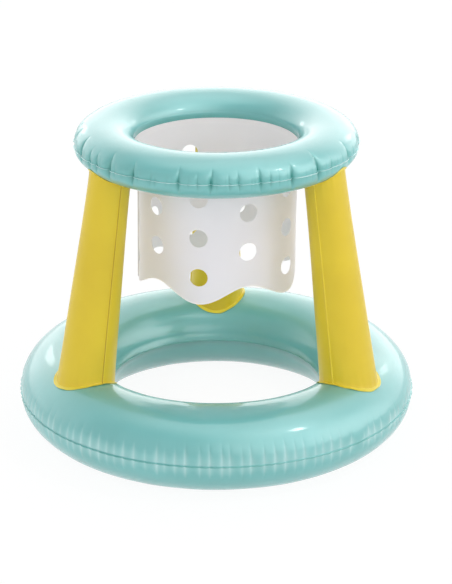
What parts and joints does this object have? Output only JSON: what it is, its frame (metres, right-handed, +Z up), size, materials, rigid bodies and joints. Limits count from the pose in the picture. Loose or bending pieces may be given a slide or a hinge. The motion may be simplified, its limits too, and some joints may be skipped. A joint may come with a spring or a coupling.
{
  "type": "floating basketball hoop",
  "caption": "Inflatable floating hoop for pool play: a welded vinyl base ring carries leaning inflated legs and a rim ring with a perforated sleeve that the ball drops through.",
  "frame": {"origin": "middle of the base ring on the plane that it stands on", "axes": "+Z up along the hoop's axis, one leg stands towards +Y and two stand either side of -Y, which is the front"},
  "size_m": [0.6671, 0.67, 0.531],
  "materials": {
    "aqua_vinyl": "glossy soft vinyl sheet",
    "yellow_vinyl": "glossy soft vinyl sheet",
    "white_vinyl": "semi-gloss translucent vinyl sheet",
    "clear_valve_vinyl": "glossy clear moulded vinyl"
  },
  "bodies": {
    "hoop": {"base_ring_upper_skin": "aqua_vinyl", "base_ring_lower_skin": "aqua_vinyl", "hoop_ring_upper_skin": "aqua_vinyl", "hoop_ring_lower_skin": "aqua_vinyl", "leg_left": "yellow_vinyl", "leg_right": "yellow_vinyl", "leg_back": "yellow_vinyl", "basket_sleeve": "white_vinyl", "base_valve_flange": "clear_valve_vinyl", "hoop_valve_flange": "clear_valve_vinyl"},
    "base_stem": {"base_valve_stem": "clear_valve_vinyl"},
    "base_plug": {"base_valve_plug": "clear_valve_vinyl"},
    "base_flap": {"base_valve_check_flap": "clear_valve_vinyl"},
    "hoop_stem": {"hoop_valve_stem": "clear_valve_vinyl"},
    "hoop_plug": {"hoop_valve_plug": "clear_valve_vinyl"},
    "hoop_flap": {"hoop_valve_check_flap": "clear_valve_vinyl"}
  },
  "joints": [
    {"name": "base_valve_push", "type": "slide", "parent": "hoop", "child": "base_stem", "axis": [0.4696, -0.8134, -0.3431], "range_m": [0, 0.01]},
    {"name": "base_valve_plug_strap", "type": "hinge", "parent": "base_stem", "child": "base_plug", "pos_m": [-0.17867, 0.28946, 0.09266], "axis": [0.1716, -0.2972, 0.9393], "range_deg": [0, 110]},
    {"name": "base_valve_flap_strip", "type": "hinge", "parent": "base_stem", "child": "base_flap", "pos_m": [-0.15587, 0.28278, 0.08638], "axis": [0.1716, -0.2972, 0.9393], "range_deg": [0, 38]},
    {"name": "hoop_valve_push", "type": "slide", "parent": "hoop", "child": "hoop_stem", "axis": [0.5309, -0.3065, 0.79], "range_m": [0, 0.01]},
    {"name": "hoop_valve_plug_strap", "type": "hinge", "parent": "hoop_stem", "child": "hoop_plug", "pos_m": [-0.20263, 0.10544, 0.46404], "axis": [-0.6842, 0.395, 0.6131], "range_deg": [0, 110]},
    {"name": "hoop_valve_flap_strip", "type": "hinge", "parent": "hoop_stem", "child": "hoop_flap", "pos_m": [-0.18472, 0.11404, 0.4785], "axis": [-0.6842, 0.395, 0.6131], "range_deg": [0, 38]}
  ]
}
